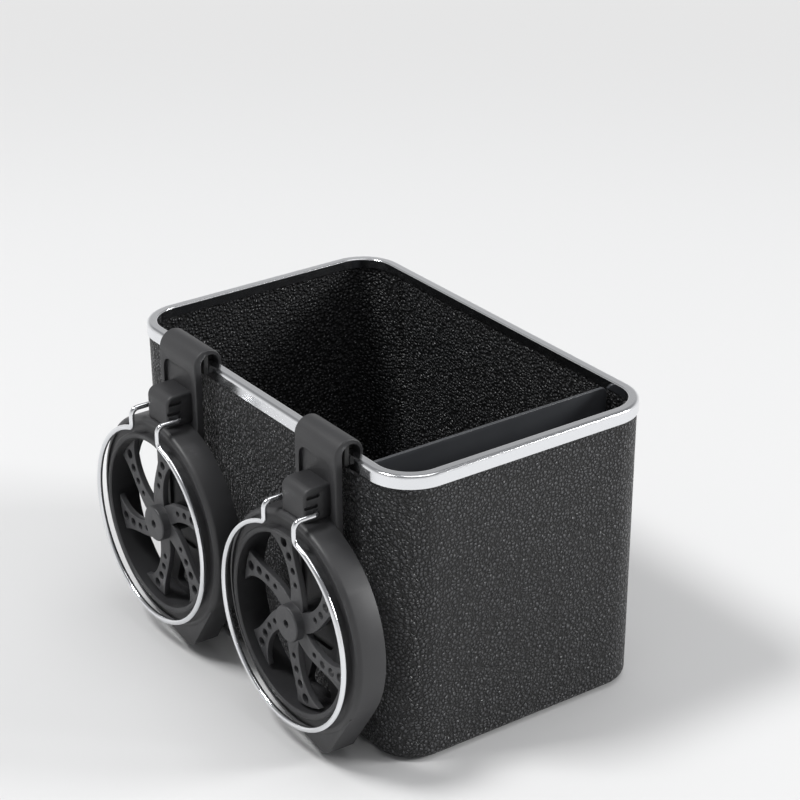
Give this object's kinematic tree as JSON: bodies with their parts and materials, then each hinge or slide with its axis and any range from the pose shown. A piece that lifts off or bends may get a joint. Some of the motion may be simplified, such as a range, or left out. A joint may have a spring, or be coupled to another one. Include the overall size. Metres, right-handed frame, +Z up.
{
  "type": "car armrest box",
  "caption": "Open leather-covered car armrest storage box with a chrome rim, a slot divider and hook-on cup holders whose wire loops swing out over drilled fan wheels.",
  "frame": {"origin": "centre of the base pad's underside, the face the box stands on", "axes": "+X along the box towards its slot end, -Y towards the cup holders, +Z up"},
  "size_m": [0.2074, 0.1582, 0.1402],
  "materials": {
    "board": "rigid moulded shell, hidden under the cover and the lining",
    "leather": "black pebble-grained synthetic leather with a soft sheen",
    "lining": "black grained lining, butted at one upright seam",
    "floor_felt": "black short-pile felt",
    "base_rubber": "matte ribbed rubber",
    "chrome_trim": "polished bright chrome",
    "divider": "dark satin panel",
    "moulded_black": "charcoal moulded plastic with a fine spark-eroded texture",
    "wheel_black": "charcoal moulded plastic, a little smoother than the housing",
    "pad_rubber": "soft black rubber",
    "pin_steel": "blackened steel",
    "chrome_wire": "bright chromed wire"
  },
  "bodies": {
    "box": {"box_shell": "board", "outer_leather": "leather", "inner_lining": "lining", "floor_pad": "floor_felt", "base_pad": "base_rubber", "rim_trim": "chrome_trim", "divider_panel": "divider", "divider_guide_near": "moulded_black", "divider_guide_far": "moulded_black", "hook_bracket_left": "moulded_black", "hook_pad_left": "pad_rubber", "pivot_block_left": "moulded_black", "ring_housing_left": "moulded_black", "fan_axle_left": "pin_steel", "fan_retainer_left": "pin_steel", "holder_screws_left": "pin_steel", "hook_bracket_right": "moulded_black", "hook_pad_right": "pad_rubber", "pivot_block_right": "moulded_black", "ring_housing_right": "moulded_black", "fan_axle_right": "pin_steel", "fan_retainer_right": "pin_steel", "holder_screws_right": "pin_steel"},
    "fan_left": {"fan_wheel_left": "wheel_black"},
    "fan_right": {"fan_wheel_right": "wheel_black"},
    "bail_left": {"wire_bail_left": "chrome_wire"},
    "bail_right": {"wire_bail_right": "chrome_wire"}
  },
  "joints": [
    {"name": "bail_left_swing", "type": "hinge", "parent": "box", "child": "bail_left", "pos_m": [-0.05, -0.079, 0.1095], "axis": [-1, 0, 0], "range_deg": [0, 90]},
    {"name": "bail_right_swing", "type": "hinge", "parent": "box", "child": "bail_right", "pos_m": [0.056, -0.079, 0.1095], "axis": [-1, 0, 0], "range_deg": [0, 90]},
    {"name": "fan_left_spin", "type": "hinge", "parent": "box", "child": "fan_left", "pos_m": [-0.05, -0.091, 0.0575], "axis": [0, 1, 0], "continuous": true},
    {"name": "fan_right_spin", "type": "hinge", "parent": "box", "child": "fan_right", "pos_m": [0.056, -0.091, 0.0575], "axis": [0, 1, 0], "continuous": true}
  ]
}
